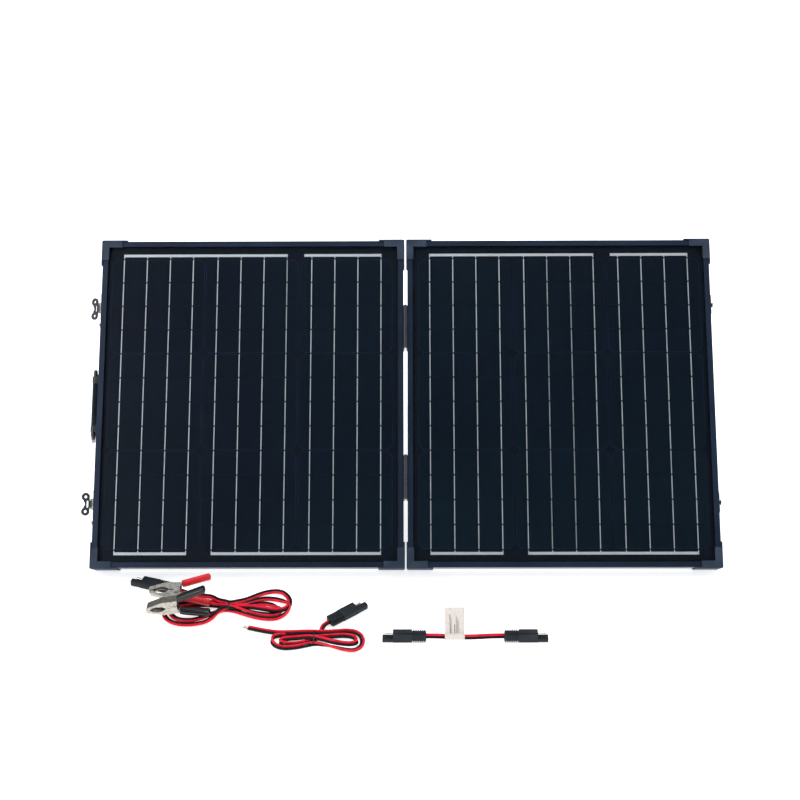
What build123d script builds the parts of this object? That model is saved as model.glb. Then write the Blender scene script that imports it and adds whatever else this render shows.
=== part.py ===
from build123d import *
import os
from math import asin, atan, cos, degrees, pi, radians, sin, tan

os.makedirs("parts", exist_ok=True)

# A folding solar charging kit, in millimetres. Two framed panels stand open side by side on their
# rear legs, and three loose leads lie on the floor in front of them.
# Panel pieces are drawn flat: X across with 0 at the fold, Y up the panel, Z out of the glass.
# Loose leads are drawn where they lie: X across, Y away from the viewer, Z up from the floor.

# Stance
tilt = 45
fold_gap = 6.6

# Panel frame
frame_width = 510
frame_height = 552
frame_depth = 35
frame_wall = 1.6
front_lip = 9
back_flange = 12
glass_ledge = 10
ledge_top = 28.5
ledge_thickness = 1.5
mitre_gap = 0.12
cap_proud = 2
cap_leg = 32.5
cap_face = 10.4
cap_wing = 41.5
cap_radius = 3

# Laminate, from the back sheet to the glass
backsheet_thickness = 1.0
cell_thickness = 0.4
ribbon_thickness = 0.3
glass_thickness = 3.2
laminate_edge = 2.2
cell_size = 156.75
cell_cut = 8
column_pitch = 159.35
strip_pitch = 41.1
strip_gap = 2.0
cell_base = 30
cell_outward = 1
ribbon_width = 1.5
bus_width = 4.6
bus_offset = 7

# Fold hinges
hinge_axis = frame_depth + cap_proud + 0.2
hinge_places = (148, 402)
hinge_length = 73
knuckle_count = 5
knuckle_gap = 0.3
knuckle_radius = 3.0
pin_radius = 1.5
leaf_thickness = 2.0
leaf_bottom = 8
leaf_top = 33.8

# Rear legs
leg_pivot_y = 450
leg_pivot_z = 12
leg_length = 363
leg_inset = 15.8
leg_bar = 4
leg_bar_width = 18
leg_tube_radius = 6
foot_radius = 9
foot_length = 46
foot_inset = 70
pivot_radius = 3
bracket_boss_radius = 7

# Latches and handle on the outer side faces
latch_places = (106, 440)
latch_plate = 1.2
latch_centre = 17
cam_layer = 1.4
cam_thickness = 1.5
drum_radius = 10
drum_top = 4.2
catch_radius = 29.6
stud_radius = 3
wing_pivot_out = 6.8
wing_reach = 16.7
wing_lobe = 6.8
wing_lobe_spread = 12.2
wing_hole = 2.4
wing_thickness = 2.2
upper_wing_angle = 30
handle_middle = 274
handle_span = 114
handle_reach = 42
handle_rod = 3.4
handle_out = 8.4
handle_lean = 12
grip_length = 95

# Charge controller and junction boxes
controller_size = (150, 84, 24)
controller_middle = 236
button_radius = 5.5
junction_size = (110, 58, 17)
junction_middle = 492
lead_wire_radius = 2.0
gland_level = 17
gland_radius = 5
gland_spacing = 24

# Two-pin connectors, pin side up or away
plug_width = 20.5
plug_thick = 12
plug_relief = 22
plug_body = 29.5
plug_shroud = 16.5
plug_length = plug_relief + plug_body + plug_shroud
contact_offset = 5.2
contact_pin = 1.98
contact_root = 1.5
contact_bore = 2.05
contact_sleeve = 2.9
pair_radius = 3.0
wire_radius = 2.1

# Battery clamps
clamp_length = 98
clamp_pivot = 44
clamp_spread = 22.4
clamp_outer = 9
clamp_sheet = 1.2
grip_start = 52
grip_width = 16
grip_thick = 10
grip_rise = 10.9

# Ties round the hanks
tie_width = 3
tie_thick = 1.5


def rectangle(x0, y0, x1, y1, mode=Mode.ADD):
    with Locations(((x0 + x1) / 2, (y0 + y1) / 2)):
        Rectangle(abs(x1 - x0), abs(y1 - y0), mode=mode)


# Placement of the flat panel, leaning back on the floor on its lower corner caps
tilt_sin = sin(radians(tilt))
tilt_cos = cos(radians(tilt))
lift = cap_proud * (tilt_sin + tilt_cos)
stand = Location((0, 0, lift), (tilt, 0, 0))

pieces = []


def keep(piece, name, place=stand, cord=False):
    piece.part = piece.part.moved(place)
    piece.part.label = name
    pieces.append((piece, name, cord))


# Panel halves. side is -1 for the left half and 1 for the right half.
inner_face = fold_gap / 2
outer_face = inner_face + frame_width
half_middle = (inner_face + outer_face) / 2
glass_top = frame_depth - frame_wall
glass_bottom = glass_top - glass_thickness
cell_level = ledge_top + backsheet_thickness


def frame_rails(side):
    x0, x1 = sorted((side * inner_face, side * outer_face))
    flats = (
        (frame_wall, 0, frame_depth),
        (back_flange, 0, frame_wall),
        (glass_ledge, ledge_top - ledge_thickness, ledge_top),
        (front_lip, frame_depth - frame_wall, frame_depth),
    )
    corners = ((x0, 0, 45), (x1, 0, -45), (x0, frame_height, -45), (x1, frame_height, 45))
    with BuildPart() as rails:
        for inset, low, high in flats:
            with BuildSketch(Plane.XY.offset(low)):
                rectangle(x0, 0, x1, frame_height)
                rectangle(x0 + inset, inset, x1 - inset, frame_height - inset, mode=Mode.SUBTRACT)
            extrude(amount=high - low)
        for x, y, turn in corners:
            with Locations(Location((x, y, frame_depth / 2), (0, 0, turn))):
                Box(60, mitre_gap, frame_depth + 2, mode=Mode.SUBTRACT)
    return rails


def cap_outline(x, y, sx, sy, long, wide):
    x_out, y_out = x - sx * cap_proud, y - sy * cap_proud
    rectangle(x_out, y_out, x + sx * long, y + sy * wide)
    rectangle(x_out, y_out, x + sx * wide, y + sy * long)


def corner_caps(side):
    x0, x1 = sorted((side * inner_face, side * outer_face))
    corners = [(x, y, sx, sy) for x, sx in ((x0, 1), (x1, -1)) for y, sy in ((0, 1), (frame_height, -1))]
    with BuildPart() as caps:
        for x, y, sx, sy in corners:
            with BuildSketch(Plane.XY.offset(-cap_proud)):
                cap_outline(x, y, sx, sy, cap_wing, 0)
            extrude(amount=frame_depth + 2 * cap_proud)
            for level in (-cap_proud, frame_depth):
                with BuildSketch(Plane.XY.offset(level)):
                    cap_outline(x, y, sx, sy, cap_leg, cap_face)
                extrude(amount=cap_proud)
        for x, y, sx, sy in corners:
            upright = caps.edges().filter_by(Axis.Z)
            tip = Vector(x - sx * cap_proud, y - sy * cap_proud, frame_depth / 2)
            fillet(upright.sort_by_distance(tip)[0], cap_radius)
    return caps


def cell_centres(side):
    middle = side * (half_middle + cell_outward)
    return [middle + column * column_pitch for column in (-1, 0, 1)]


def glass(side):
    x0, x1 = sorted((side * (inner_face + laminate_edge), side * (outer_face - laminate_edge)))
    with BuildPart() as pane:
        with BuildSketch(Plane.XY.offset(glass_bottom)):
            rectangle(x0, laminate_edge, x1, frame_height - laminate_edge)
        extrude(amount=glass_thickness)
    return pane


def backsheet(side):
    x0, x1 = sorted((side * (inner_face + laminate_edge), side * (outer_face - laminate_edge)))
    with BuildPart() as sheet:
        with BuildSketch(Plane.XY.offset(ledge_top)):
            rectangle(x0, laminate_edge, x1, frame_height - laminate_edge)
        extrude(amount=backsheet_thickness)
    return sheet


def cells(side):
    strip = strip_pitch - strip_gap
    half = cell_size / 2
    with BuildPart() as strips:
        for x in cell_centres(side):
            for row in range(12):
                y = cell_base + row * strip_pitch
                with BuildSketch(Plane.XY.offset(cell_level)) as outline:
                    rectangle(x - half, y, x + half, y + strip)
                    if row % 4 == 0:
                        chamfer(outline.vertices().group_by(Axis.Y)[0], cell_cut)
                    if row % 4 == 3:
                        chamfer(outline.vertices().group_by(Axis.Y)[-1], cell_cut)
                extrude(amount=cell_thickness)
    return strips


def ribbons(side):
    level = cell_level + cell_thickness
    first, second, third = sorted(cell_centres(side))
    reach = 1.5 * cell_size / 4 + ribbon_width / 2
    cells_top = cell_base + 12 * strip_pitch - strip_gap
    top = cells_top + bus_offset - bus_width / 2
    bottom = cell_base - bus_offset - bus_width / 2
    buses = (
        (first - reach, second + reach, top),
        (third - reach - 12, third + reach, top),
        (first - reach, first + reach, bottom),
        (second - reach, third + reach, bottom),
    )
    with BuildPart() as strips:
        with BuildSketch(Plane.XY.offset(level)):
            for x in (first, second, third):
                with Locations((x, (bottom + top + bus_width) / 2)):
                    with GridLocations(cell_size / 4, 1, 4, 1):
                        Rectangle(ribbon_width, top - bottom)
            for x0, x1, y in buses:
                rectangle(x0, y, x1, y + bus_width)
        extrude(amount=glass_bottom - level)
    return strips


def hinge_leaves(side):
    pitch = hinge_length / knuckle_count
    own = (0, 2, 4) if side < 0 else (1, 3)
    face = side * inner_face
    bore = pin_radius if side < 0 else pin_radius + 0.05
    with BuildPart() as leaves:
        for middle in hinge_places:
            low = middle - hinge_length / 2
            with BuildSketch(Plane.XY.offset(leaf_bottom)):
                rectangle(face, low, face - side * leaf_thickness, low + hinge_length)
            extrude(amount=leaf_top - leaf_bottom)
            for number in own:
                start = low + number * pitch + knuckle_gap / 2
                with BuildSketch(Plane(origin=(0, start, 0), x_dir=(1, 0, 0), z_dir=(0, -1, 0))):
                    rectangle(face, leaf_top - 1, face - side * leaf_thickness, hinge_axis)
                    with Locations((0, hinge_axis)):
                        Circle(knuckle_radius)
                        Circle(bore, mode=Mode.SUBTRACT)
                extrude(amount=-(pitch - knuckle_gap))
    return leaves


def junction_box(side):
    long, wide, deep = junction_size
    with BuildPart() as box:
        with BuildSketch(Plane.XY.offset(ledge_top - deep)):
            with Locations((side * half_middle, junction_middle)):
                RectangleRounded(long, wide, 5)
        extrude(amount=deep)
        fillet(box.faces().sort_by(Axis.Z)[0].edges(), 2)
        glands = Plane(
            origin=(side * half_middle, junction_middle - wide / 2, gland_level),
            x_dir=(1, 0, 0),
            z_dir=(0, -1, 0),
        )
        with BuildSketch(glands):
            with GridLocations(gland_spacing, 1, 2, 1):
                Circle(gland_radius)
        extrude(amount=8)
        with BuildSketch(glands.offset(8)):
            with GridLocations(gland_spacing, 1, 2, 1):
                Circle(lead_wire_radius)
        extrude(amount=-8, mode=Mode.SUBTRACT)
    return box


# Rear legs, turned out about their pivots until the feet reach the floor
pivot_height = leg_pivot_y * tilt_sin + leg_pivot_z * tilt_cos + lift
leg_angle = 180 - degrees(asin((pivot_height - foot_radius) / leg_length)) - tilt
leg_turn = Location((0, leg_pivot_y, leg_pivot_z), (leg_angle, 0, 0))
leg_stand = stand * leg_turn
leg_bar_middle = leg_inset + leg_bar / 2


def leg_sides(side):
    return sorted((side * (inner_face + leg_bar_middle), side * (outer_face - leg_bar_middle)))


def leg_frame(side):
    low, high = leg_sides(side)
    with BuildPart() as leg:
        for x in (low, high):
            with BuildSketch(Plane(origin=(x, 0, 0), x_dir=(0, 1, 0), z_dir=(1, 0, 0))):
                with Locations((-leg_length / 2, 0)):
                    SlotCenterToCenter(leg_length, leg_bar_width)
                Circle(pivot_radius + 0.05, mode=Mode.SUBTRACT)
            extrude(amount=leg_bar / 2, both=True)
        with BuildSketch(Plane(origin=(low, -leg_length, 0), z_dir=(1, 0, 0))):
            Circle(leg_tube_radius)
        extrude(amount=high - low)
    return leg


def leg_feet(side):
    low, high = leg_sides(side)
    with BuildPart() as feet:
        for x in (low + foot_inset, high - foot_inset):
            with BuildSketch(Plane(origin=(x, -leg_length, 0), z_dir=(1, 0, 0))):
                Circle(foot_radius)
                Circle(leg_tube_radius, mode=Mode.SUBTRACT)
            extrude(amount=foot_length / 2, both=True)
    return feet


def leg_pivots(side):
    """A wall plate with a boss and a riveted pin for each end of the leg."""
    x0, x1 = sorted((side * inner_face, side * outer_face))
    bar_face = leg_inset - 0.3 - frame_wall
    pin_end = leg_inset + leg_bar + 0.3 - frame_wall
    with BuildPart() as pivots:
        for x, inward in ((x0 + frame_wall, 1), (x1 - frame_wall, -1)):
            wall = Plane(origin=(x, leg_pivot_y, leg_pivot_z), x_dir=(0, inward, 0), z_dir=(inward, 0, 0))
            with BuildSketch(wall):
                RectangleRounded(40, 18, 4)
            extrude(amount=2)
            for radius, start, end in ((bracket_boss_radius, 2, bar_face), (pivot_radius, bar_face, pin_end)):
                with BuildSketch(wall.offset(start)):
                    Circle(radius)
                extrude(amount=end - start)
            with BuildSketch(wall.offset(pin_end)):
                Circle(6)
            extrude(amount=3)
    return pivots


for side, half in ((-1, "left"), (1, "right")):
    keep(frame_rails(side), half + "_frame_rails")
    keep(corner_caps(side), half + "_corner_caps")
    keep(glass(side), half + "_glass")
    keep(cells(side), half + "_cells")
    keep(ribbons(side), half + "_ribbons")
    keep(backsheet(side), half + "_backsheet")
    keep(junction_box(side), half + "_junction_box")
    keep(hinge_leaves(side), half + "_hinge_leaves")
    keep(leg_pivots(side), half + "_leg_pivots")
    keep(leg_frame(side), half + "_leg_frame", leg_stand)
    keep(leg_feet(side), half + "_leg_feet", leg_stand)

# Hinge pins with rivet heads
with BuildPart() as hinge_pins:
    for middle in hinge_places:
        with BuildSketch(Plane(origin=(0, middle - hinge_length / 2, hinge_axis), z_dir=(0, 1, 0))):
            Circle(pin_radius)
        extrude(amount=hinge_length)
        for end, way in ((-1, -1), (1, 1)):
            at = Plane(origin=(0, middle + end * hinge_length / 2, hinge_axis), z_dir=(0, way, 0))
            with BuildSketch(at):
                Circle(2.4)
            extrude(amount=1.2)
keep(hinge_pins, "hinge_pins")

# Charge controller on the back of the left half, with a button and the wires from the junction box
long, wide, deep = controller_size
controller_x = -half_middle
controller_back = ledge_top - deep
button_x = controller_x + 52
with BuildPart() as controller_case:
    with BuildSketch(Plane.XY.offset(controller_back)):
        with Locations((controller_x, controller_middle)):
            RectangleRounded(long, wide, 6)
    extrude(amount=deep)
    fillet(controller_case.faces().sort_by(Axis.Z)[0].edges(), 2.5)
    with BuildSketch(Plane.XY.offset(controller_back)):
        with Locations((controller_x - 18, controller_middle + 8)):
            Rectangle(64, 34)
    extrude(amount=1.2, mode=Mode.SUBTRACT)
    with BuildSketch(Plane.XY.offset(controller_back)):
        with Locations((button_x, controller_middle + 8)):
            Circle(button_radius + 0.4)
    extrude(amount=4, mode=Mode.SUBTRACT)
    controller_top = controller_middle + wide / 2
    glands = Plane(origin=(controller_x, controller_top, gland_level), x_dir=(1, 0, 0), z_dir=(0, 1, 0))
    with BuildSketch(glands):
        with GridLocations(gland_spacing, 1, 2, 1):
            Circle(gland_radius)
    extrude(amount=6)
    with BuildSketch(glands.offset(6)):
        with GridLocations(gland_spacing, 1, 2, 1):
            Circle(lead_wire_radius)
    extrude(amount=-8, mode=Mode.SUBTRACT)
keep(controller_case, "controller_case")

with BuildPart() as controller_screen:
    with BuildSketch(Plane.XY.offset(controller_back + 0.2)):
        with Locations((controller_x - 18, controller_middle + 8)):
            Rectangle(64, 34)
    extrude(amount=1.0)
keep(controller_screen, "controller_screen")

with BuildPart() as controller_button:
    with BuildSketch(Plane.XY.offset(controller_back - 1.6)):
        with Locations((button_x, controller_middle + 8)):
            Circle(button_radius)
    extrude(amount=4.2)
    fillet(controller_button.faces().sort_by(Axis.Z)[0].edges(), 0.8)
keep(controller_button, "controller_button")

with BuildPart() as panel_wires:
    wires_top = junction_middle - junction_size[1] / 2
    wires_low = controller_middle + wide / 2 - 2
    for wire_side in (-1, 1):
        x = controller_x + wire_side * 12
        with BuildLine() as run:
            FilletPolyline(
                (x, wires_top, 17),
                (x, wires_top - 22, 17),
                (controller_x + wire_side * 4, wires_top - 48, 24),
                (controller_x + wire_side * 4, wires_low + 52, 24),
                (x, wires_low + 24, 17),
                (x, wires_low, 17),
                radius=14,
            )
        with BuildSketch(Plane(origin=(x, wires_top, 17), z_dir=(0, -1, 0))):
            Circle(lead_wire_radius)
        sweep(path=run.wires()[0])
keep(panel_wires, "panel_wires")

# Latches on the left outer side: plate, rotating catch and folding butterfly wing.
# Side planes face outward, with their local Y up the panel and their local X towards the glass.


def side_plane(middle, out):
    return Plane(origin=(-outer_face - out, middle, 0), x_dir=(0, 0, 1), z_dir=(-1, 0, 0))


with BuildPart() as latch_plates:
    for middle in latch_places:
        with BuildSketch(side_plane(middle, 0)):
            with Locations((latch_centre, 0)):
                RectangleRounded(28, 50, 4)
        extrude(amount=latch_plate)
        with BuildSketch(side_plane(middle, latch_plate)):
            with Locations((latch_centre - 8, 19), (latch_centre + 8, 19)):
                Circle(3)
        extrude(amount=1)
keep(latch_plates, "latch_plates")

for name, middle, wing_angle in (("lower", latch_places[0], 0), ("upper", latch_places[1], upper_wing_angle)):
    # The catch is a hub with a hooked rim, parked a quarter turn from the keeper stud
    rim_inner = catch_radius + stud_radius + 0.3
    rim_outer = rim_inner + 3.2
    with BuildPart() as catch:
        with BuildSketch(side_plane(middle, cam_layer)):
            with Locations((latch_centre, 0)):
                Circle(drum_radius)
                with PolarLocations(0, 1, start_angle=-115):
                    with Locations((rim_outer / 2, 0)):
                        Rectangle(rim_outer, 7)
                with BuildSketch(mode=Mode.PRIVATE) as rim:
                    Circle(rim_outer)
                    Circle(rim_inner, mode=Mode.SUBTRACT)
                    Polygon(
                        (0, 0),
                        (60 * cos(radians(-64)), 60 * sin(radians(-64))),
                        (60 * cos(radians(-92)), 60 * sin(radians(-92))),
                        (60 * cos(radians(-118)), 60 * sin(radians(-118))),
                        align=None,
                        mode=Mode.INTERSECT,
                    )
                add(rim.sketch)
        extrude(amount=cam_thickness)
        with BuildSketch(side_plane(middle, cam_layer)):
            with Locations((latch_centre, 0)):
                Circle(drum_radius)
        extrude(amount=drum_top - cam_layer)
        for ear in (-1, 1):
            with BuildSketch(side_plane(middle, drum_top)):
                with Locations((latch_centre, ear * 7.5)):
                    Rectangle(4.4, 2.5)
            extrude(amount=wing_pivot_out - drum_top + 1.8)
        with BuildSketch(Plane(origin=(-outer_face - wing_pivot_out, middle, latch_centre), z_dir=(0, 1, 0))):
            Circle(1.25)
        extrude(amount=8.5, both=True)
    keep(catch, name + "_latch_catch")

    # The wing stands straight out from its pin, then leans back by its angle
    lobe_x = wing_lobe - wing_reach
    lobes = ((lobe_x, -wing_lobe_spread), (lobe_x, wing_lobe_spread))
    with BuildPart() as wing:
        with BuildSketch(Plane.XY.offset(-wing_thickness / 2)):
            rectangle(-5, -6, 0, 6)
            arm_far = wing_lobe_spread + wing_lobe - 0.6
            Polygon(
                (lobe_x - 3, -wing_lobe_spread),
                (lobe_x + 1.5, -arm_far),
                (-3.1, -8.6),
                (-3.1, 8.6),
                (lobe_x + 1.5, arm_far),
                (lobe_x - 3, wing_lobe_spread),
                align=None,
            )
            with Locations(*lobes):
                Circle(wing_lobe)
                Circle(wing_hole, mode=Mode.SUBTRACT)
            with Locations((lobe_x - 6.5, 0)):
                Circle(5.5, mode=Mode.SUBTRACT)
            with Locations((-6.7, 0)):
                SlotOverall(11.6, 3, rotation=90, mode=Mode.SUBTRACT)
        extrude(amount=wing_thickness)
        with BuildSketch(Plane(origin=(0, -6, 0), z_dir=(0, 1, 0))):
            Circle(2.2)
        extrude(amount=12)
        with BuildSketch(Plane(origin=(0, -6, 0), z_dir=(0, 1, 0))):
            Circle(1.3)
        extrude(amount=12, mode=Mode.SUBTRACT)
    wing_place = Location((-outer_face - wing_pivot_out, middle, latch_centre), (0, -wing_angle, 0))
    keep(wing, name + "_latch_wing", stand * wing_place)

# Keeper studs on the right outer side, which the catches take when the case is shut
keeper_z = 2 * hinge_axis - latch_centre - catch_radius
with BuildPart() as latch_keepers:
    for middle in latch_places:
        plane = Plane(origin=(outer_face, middle, keeper_z), x_dir=(0, 0, 1), z_dir=(1, 0, 0))
        with BuildSketch(plane):
            RectangleRounded(12, 34, 3)
        extrude(amount=latch_plate)
        with BuildSketch(plane.offset(latch_plate)):
            Circle(stud_radius)
        extrude(amount=2.2)
        with BuildSketch(plane.offset(latch_plate + 2.2)):
            Circle(4.2)
        extrude(amount=0.9)
keep(latch_keepers, "latch_keepers")

# Carrying handle, hanging towards the back from two brackets
handle_x = -outer_face - handle_out
bracket_middle = handle_span / 2 - 15
with BuildPart() as handle_brackets:
    for end in (-1, 1):
        y = handle_middle + end * bracket_middle
        with BuildSketch(Plane(origin=(-outer_face, y, latch_centre), x_dir=(0, 0, 1), z_dir=(-1, 0, 0))):
            RectangleRounded(26, 14, 3)
        extrude(amount=2)
        with BuildSketch(Plane(origin=(handle_x, y - 5, latch_centre), x_dir=(1, 0, 0), z_dir=(0, 1, 0))):
            Circle(5.2)
            rectangle(0, -5.2, handle_out - 1, 5.2)
            Circle(handle_rod + 0.05, mode=Mode.SUBTRACT)
        extrude(amount=10)
keep(handle_brackets, "handle_brackets")

half_span = handle_span / 2
with BuildPart() as handle_bail:
    with BuildLine() as bail_line:
        FilletPolyline(
            (handle_x, handle_middle - half_span + 11, latch_centre),
            (handle_x, handle_middle - half_span, latch_centre),
            (handle_x, handle_middle - half_span, latch_centre - handle_reach),
            (handle_x, handle_middle + half_span, latch_centre - handle_reach),
            (handle_x, handle_middle + half_span, latch_centre),
            (handle_x, handle_middle + half_span - 11, latch_centre),
            radius=6,
        )
    bail_end = Plane(origin=(handle_x, handle_middle - half_span + 11, latch_centre), z_dir=(0, -1, 0))
    with BuildSketch(bail_end):
        Circle(handle_rod)
    sweep(path=bail_line.wires()[0])
    for end in (-1, 1):
        y = handle_middle + end * (half_span - 11)
        with BuildSketch(Plane(origin=(handle_x, y, latch_centre), z_dir=(0, -end, 0))):
            Circle(handle_rod)
        extrude(amount=9.5)
# The handle rests swung a little outwards about its own axis
handle_axis = Location((handle_x, 0, latch_centre))
handle_turn = handle_axis * Location((0, 0, 0), (0, handle_lean, 0)) * handle_axis.inverse()
keep(handle_bail, "handle_bail", stand * handle_turn)

with BuildPart() as handle_grip:
    grip_plane = Plane(
        origin=(handle_x, handle_middle, latch_centre - handle_reach),
        x_dir=(1, 0, 0),
        z_dir=(0, 1, 0),
    )
    with BuildSketch(grip_plane):
        RectangleRounded(10.4, 17, 4)
        Circle(handle_rod, mode=Mode.SUBTRACT)
    extrude(amount=grip_length / 2, both=True)
keep(handle_grip, "handle_grip", stand * handle_turn)


# Loose leads
def smooth_route(points):
    """Straight runs joined by the largest arcs that they allow."""
    places = [Vector(*point) for point in points]
    radii = []
    for before, here, after in zip(places, places[1:], places[2:]):
        turn = (here - before).get_angle(after - here)
        run = min((here - before).length, (after - here).length)
        radii.append(0.45 * run / tan(radians(turn) / 2))
    return FilletPolyline(*points, radius=radii), radii


def cord_tubes(routes, radius, name):
    length = 0
    radii = []
    with BuildPart() as tube:
        for points in routes:
            start = Vector(*points[0])
            with BuildLine() as line:
                path, bends = smooth_route(points)
            with BuildSketch(Plane(origin=start, z_dir=Vector(*points[1]) - start)):
                Circle(radius)
            sweep(path=line.wires()[0])
            length += line.wires()[0].length
            radii += bends
    ratio = tube.part.volume / (length * pi * radius**2)
    print(f"{name}: {length:.0f} long, radii {min(radii):.0f} to {max(radii):.0f}, volume ratio {ratio:.3f}")
    keep(tube, name, Location(), cord=True)


def plug():
    """A connector along X from its strain relief, with the pin on its +Y side."""
    shoulder = plug_relief + plug_body
    with BuildPart() as body:
        with BuildSketch(Plane.YZ):
            RectangleRounded(plug_width - 4.5, plug_thick - 2.4, 3)
        extrude(amount=plug_relief)
        with BuildSketch(Plane.YZ.offset(plug_relief)):
            RectangleRounded(plug_width, plug_thick, 3)
        extrude(amount=plug_body)
        with BuildSketch(Plane.YZ.offset(shoulder)):
            with Locations((-contact_offset, 0)):
                RectangleRounded(plug_width / 2 - 0.5, plug_thick - 1, 3)
        extrude(amount=plug_shroud)
        with BuildSketch(Plane.YZ.offset(shoulder + plug_shroud)):
            with Locations((-contact_offset, 0)):
                Circle(contact_sleeve)
        extrude(amount=-plug_shroud - 4, mode=Mode.SUBTRACT)
        with BuildSketch(Plane.YZ.offset(shoulder)):
            with Locations((contact_offset, 0)):
                Circle(contact_root)
        extrude(amount=-6, mode=Mode.SUBTRACT)
    return body.part


def plug_contacts():
    shoulder = plug_relief + plug_body
    with BuildPart() as contacts:
        with BuildSketch(Plane.YZ.offset(shoulder - 6)):
            with Locations((contact_offset, 0)):
                Circle(contact_root)
        extrude(amount=6)
        with BuildSketch(Plane.YZ.offset(shoulder)):
            with Locations((contact_offset, 0)):
                Circle(contact_pin)
        extrude(amount=13)
        fillet(contacts.faces().sort_by(Axis.X)[-1].edges(), 1.2)
        with BuildSketch(Plane.YZ.offset(shoulder - 4)):
            with Locations((-contact_offset, 0)):
                Circle(contact_sleeve)
                Circle(contact_bore, mode=Mode.SUBTRACT)
        extrude(amount=plug_shroud + 3)
    return contacts.part


def place_group(parts_and_places, name, cord=True):
    with BuildPart() as group:
        for part, place in parts_and_places:
            add(part.moved(place))
    keep(group, name, Location(), cord)


def plug_place(point, heading, face=(0, 0, 1)):
    """Lies along its heading in degrees, with one broad side towards face."""
    ahead = Vector(cos(radians(heading)), sin(radians(heading)), 0)
    return Plane(origin=point, x_dir=ahead, z_dir=face).location


# Battery clamps: X from the jaw tips to the grips, Y the way the jaws open, Z along the pivot
handle_slope = degrees(atan((clamp_spread - grip_rise) / (clamp_length - grip_start)))


def jaw(outer):
    """The upper half of a clamp in bent sheet, outer wide across its sides."""
    with BuildPart() as half:
        for z_side in (-1, 1):
            plane = Plane.XY.offset(outer if z_side > 0 else -outer + clamp_sheet)
            with BuildSketch(plane):
                with BuildLine():
                    Polyline((0, 0.3), (1.5, 5), (26, 11.5), (grip_start - 1, 11.5), (grip_start - 1, 6))
                    Line((grip_start - 1, 6), (38, 1.0))
                    Line((38, 1.0), (32, 0.3))
                    ThreePointArc((32, 0.3), (19, 5.4), (6, 0.3))
                    Line((6, 0.3), (0, 0.3))
                make_face()
                with Locations((clamp_pivot, 0)):
                    Circle(5.5)
                    Circle(2.0, mode=Mode.SUBTRACT)
                rectangle(clamp_pivot - 5.5, 0, clamp_pivot + 5.5, 7)
                with Locations((clamp_pivot, 0)):
                    Circle(2.05, mode=Mode.SUBTRACT)
            extrude(amount=-clamp_sheet)
        with BuildSketch(Plane.XY):
            with BuildLine():
                Polyline(
                    (1.5, 5 - clamp_sheet),
                    (1.5, 5),
                    (26, 11.5),
                    (grip_start - 1, 11.5),
                    (grip_start - 1, 11.5 - clamp_sheet),
                    (26, 11.5 - clamp_sheet),
                    close=True,
                )
            make_face()
        extrude(amount=outer, both=True)
        ahead = (cos(radians(handle_slope)), sin(radians(handle_slope)), 0)
        tang = Plane(origin=(grip_start - 3, 10.2, 0), x_dir=ahead, z_dir=(0, 0, 1))
        with BuildSketch(tang):
            rectangle(0, -0.6, 24, 0.6)
        extrude(amount=6, both=True)
    return half.part


def clamp_grip():
    """The moulded sleeve over the upper half's handle."""
    ahead = (cos(radians(handle_slope)), sin(radians(handle_slope)), 0)
    start = Plane(origin=(grip_start, grip_rise, 0), x_dir=(0, 0, 1), z_dir=ahead)
    with BuildPart() as sleeve:
        with BuildSketch(start):
            RectangleRounded(grip_width, grip_thick, 3.5)
        extrude(amount=(clamp_length - grip_start) / cos(radians(handle_slope)))
        add(upper_jaw, mode=Mode.SUBTRACT)
        add(upper_jaw_inner, mode=Mode.SUBTRACT)
    return sleeve.part


upper_jaw = jaw(clamp_outer)
upper_jaw_inner = jaw(clamp_outer - clamp_sheet - 0.3)
upper_grip = clamp_grip()
lower_jaw = mirror(upper_jaw_inner, Plane.XZ)
lower_grip = mirror(upper_grip, Plane.XZ)

with BuildPart() as clamp_pin:
    with BuildSketch(Plane.XY):
        with Locations((clamp_pivot, 0)):
            Circle(2.0)
    extrude(amount=clamp_outer + 0.2, both=True)
    with BuildSketch(Plane.XY.offset(clamp_outer + 0.2), Plane.XY.offset(-clamp_outer - 1.2)):
        with Locations((clamp_pivot, 0)):
            Circle(3.4)
    extrude(amount=1)


def clamp_place(tip, end, roll):
    """Lies along tip to end, with its opening way rolled up from the floor."""
    ahead = (Vector(*end) - Vector(*tip)).normalized()
    level = Vector(0, 0, 1).cross(ahead).normalized()
    upward = ahead.cross(level)
    opening = level * cos(radians(roll)) + upward * sin(radians(roll))
    return Plane(origin=tip, x_dir=ahead, z_dir=ahead.cross(opening)).location


red_clamp = clamp_place((-410, -78, 24), (-313, -71, 21.5), 30)
black_clamp = clamp_place((-409, -113, 20), (-313, -108, 31.5), 80)
for colour, place in (("red", red_clamp), ("black", black_clamp)):
    place_group([(upper_jaw, place)], colour + "_clamp_upper_jaw")
    place_group([(upper_grip, place)], colour + "_clamp_upper_grip")
    place_group([(lower_grip, place)], colour + "_clamp_lower_grip")
place_group([(lower_jaw, red_clamp), (lower_jaw, black_clamp)], "clamp_lower_jaws")
place_group([(clamp_pin.part, red_clamp), (clamp_pin.part, black_clamp)], "clamp_pins")


def hank(outline, waist, length, width, height, name):
    """The outer shape of a tied hank of cord, with a groove at its waist for the tie."""
    x, y = waist
    with BuildPart() as body:
        with BuildSketch():
            with BuildLine():
                Spline(*outline, periodic=True)
            make_face()
        extrude(amount=height - 2)
        with Locations((x, y, height / 2)):
            Box(length, 90, 2 * height, mode=Mode.SUBTRACT)
        with Locations((x, y, (height + tie_thick) / 2)):
            Box(length, width, height - tie_thick)
    keep(body, name, Location(), cord=True)


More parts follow.
